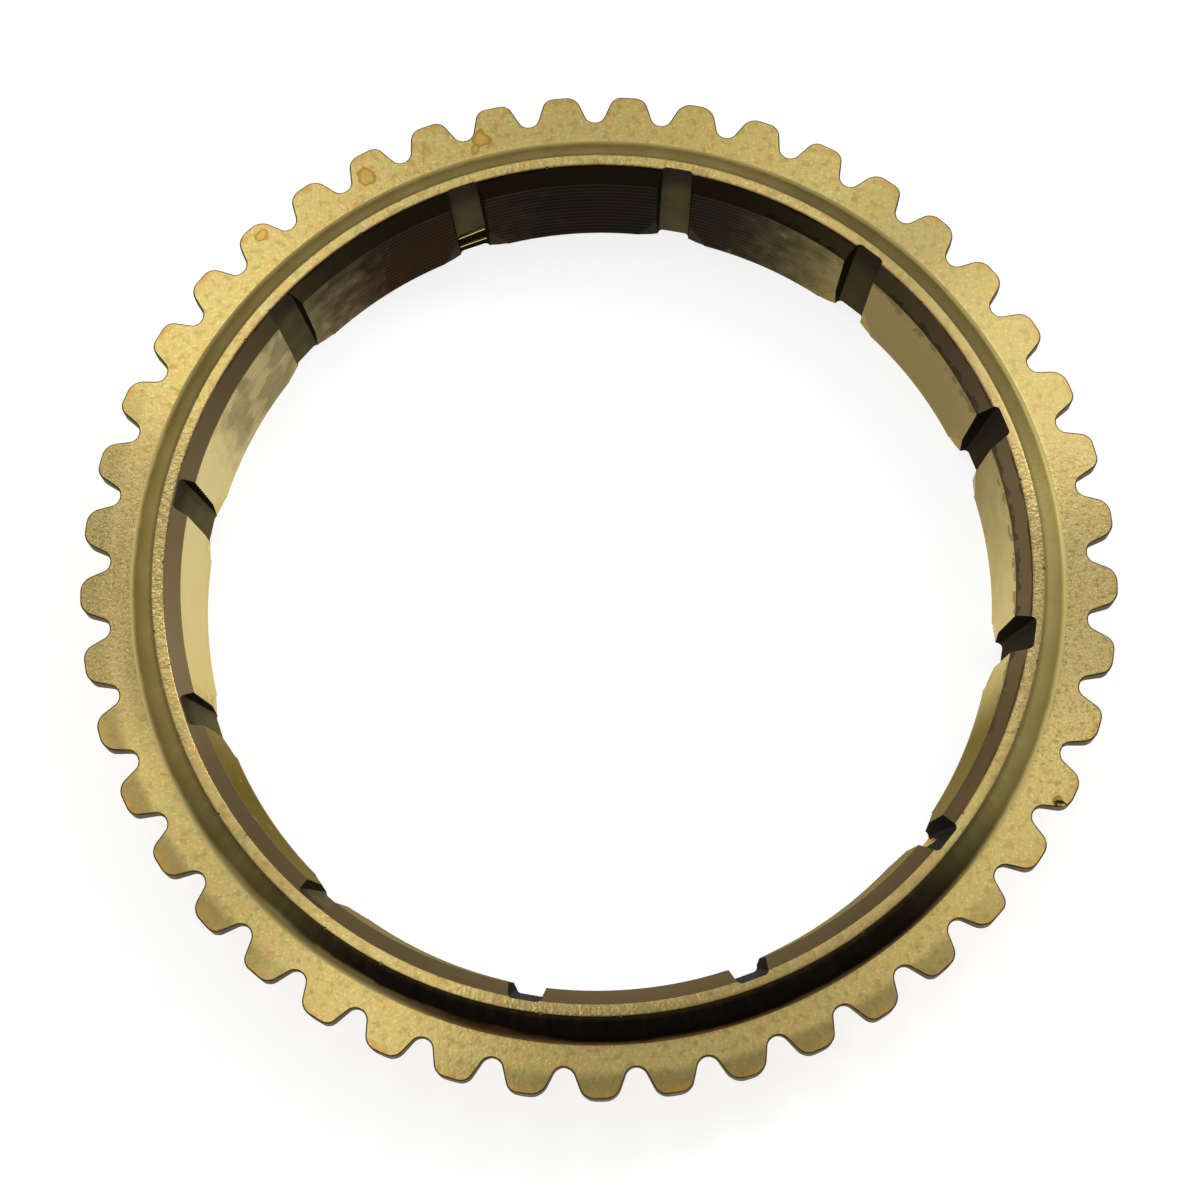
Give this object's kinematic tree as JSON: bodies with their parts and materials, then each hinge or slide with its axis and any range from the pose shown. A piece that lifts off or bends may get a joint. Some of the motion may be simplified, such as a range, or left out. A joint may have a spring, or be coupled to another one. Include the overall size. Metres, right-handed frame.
{
  "type": "synchronizer ring",
  "caption": "Brass synchronizer ring with pointed dog teeth on its flange, a conical friction bore cut by straight oil grooves, and key slots at its hub end.",
  "frame": {"origin": "on the ring's axis, in the plane of the hub end that it stands on", "axes": "+Z along the ring's axis to the gear side, +Y through the middle of a key slot and of the dog tooth above it"},
  "size_m": [0.084, 0.0839, 0.0098],
  "materials": {
    "brass": "tumbled satin, with faint tarnish"
  },
  "bodies": {
    "root": {"synchronizer_ring": "brass"}
  },
  "joints": []
}
